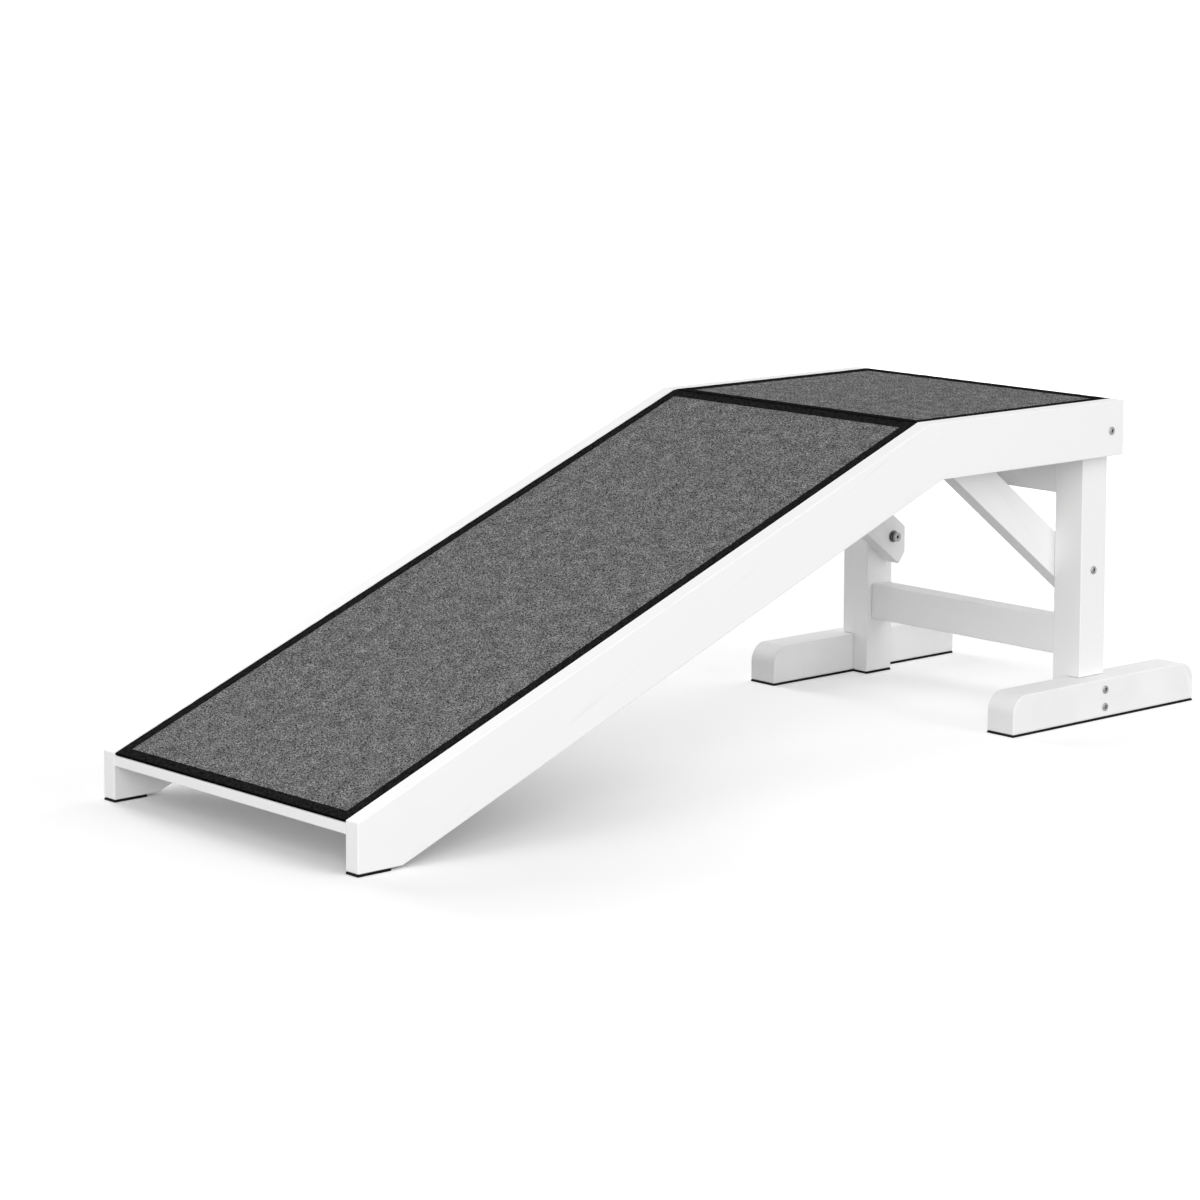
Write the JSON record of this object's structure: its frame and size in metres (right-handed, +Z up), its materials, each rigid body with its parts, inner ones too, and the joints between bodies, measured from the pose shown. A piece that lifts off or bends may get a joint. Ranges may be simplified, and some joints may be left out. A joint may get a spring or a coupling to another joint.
{
  "type": "pet ramp",
  "caption": "Pet ramp: a carpeted slope between two painted side boards rises to a level platform on a braced leg frame that folds forward.",
  "frame": {"origin": "on the floor, in the middle of the whole footprint", "axes": "+X along the ramp towards the platform end, +Y to the left of somebody who walks up it, +Z up"},
  "size_m": [1.1732, 0.4024, 0.346],
  "materials": {
    "painted_wood": "satin white paint",
    "felt": "mottled grey needle felt",
    "tape": "black woven edging",
    "rubber": "matt black",
    "steel": "zinc-plated",
    "beech": "bare beech"
  },
  "bodies": {
    "ramp": {"brace_block_left": "painted_wood", "brace_block_right": "painted_wood", "crease_batten": "painted_wood", "pivot_bolt_left": "steel", "pivot_bolt_right": "steel", "pivot_nut_left": "steel", "pivot_nut_right": "steel", "pivot_spacer_left": "steel", "pivot_spacer_right": "steel", "pivot_washer_left": "steel", "pivot_washer_right": "steel", "platform_binding": "tape", "platform_carpet": "felt", "platform_cleat_left": "painted_wood", "platform_cleat_right": "painted_wood", "platform_deck": "painted_wood", "side_panel_left": "painted_wood", "side_panel_right": "painted_wood", "slope_batten_lower": "painted_wood", "slope_batten_upper": "painted_wood", "slope_binding": "tape", "slope_carpet": "felt", "slope_cleat_left": "painted_wood", "slope_cleat_right": "painted_wood", "slope_deck": "painted_wood", "toe_pad_left": "rubber", "toe_pad_right": "rubber"},
    "leg_frame": {"brace_bolt_left": "steel", "brace_bolt_right": "steel", "brace_nut_left": "steel", "brace_nut_right": "steel", "brace_washer_left": "steel", "brace_washer_right": "steel", "foot_left": "painted_wood", "foot_pad_left": "rubber", "foot_pad_right": "rubber", "foot_right": "painted_wood", "foot_screw_left_1": "steel", "foot_screw_left_2": "steel", "foot_screw_right_1": "steel", "foot_screw_right_2": "steel", "post_left": "painted_wood", "post_pad_left": "rubber", "post_pad_right": "rubber", "post_right": "painted_wood", "stretcher": "painted_wood", "stretcher_dowel_lower_left": "beech", "stretcher_dowel_lower_right": "beech", "stretcher_dowel_upper_left": "beech", "stretcher_dowel_upper_right": "beech", "top_rail": "painted_wood", "top_rail_dowel_lower_left": "beech", "top_rail_dowel_lower_right": "beech", "top_rail_dowel_upper_left": "beech", "top_rail_dowel_upper_right": "beech"},
    "brace_left": {"brace_left": "painted_wood", "brace_top_bolt_left": "steel"},
    "brace_right": {"brace_right": "painted_wood", "brace_top_bolt_right": "steel"}
  },
  "joints": [
    {"name": "leg_fold", "type": "hinge", "parent": "ramp", "child": "leg_frame", "pos_m": [0.43888, 0, 0.314], "axis": [0, 1, 0], "range_deg": [0, 50]},
    {"name": "brace_fold_left", "type": "hinge", "parent": "leg_frame", "child": "brace_left", "pos_m": [0.43888, 0, 0.16], "axis": [0, 1, 0], "range_deg": [-80, 0]},
    {"name": "brace_fold_right", "type": "hinge", "parent": "leg_frame", "child": "brace_right", "pos_m": [0.43888, 0, 0.16], "axis": [0, 1, 0], "range_deg": [-80, 0]}
  ],
  "couplings": [
    {"joint": "brace_fold_left", "follows": "leg_fold", "ratio": -1.6},
    {"joint": "brace_fold_right", "follows": "leg_fold", "ratio": -1.6}
  ]
}
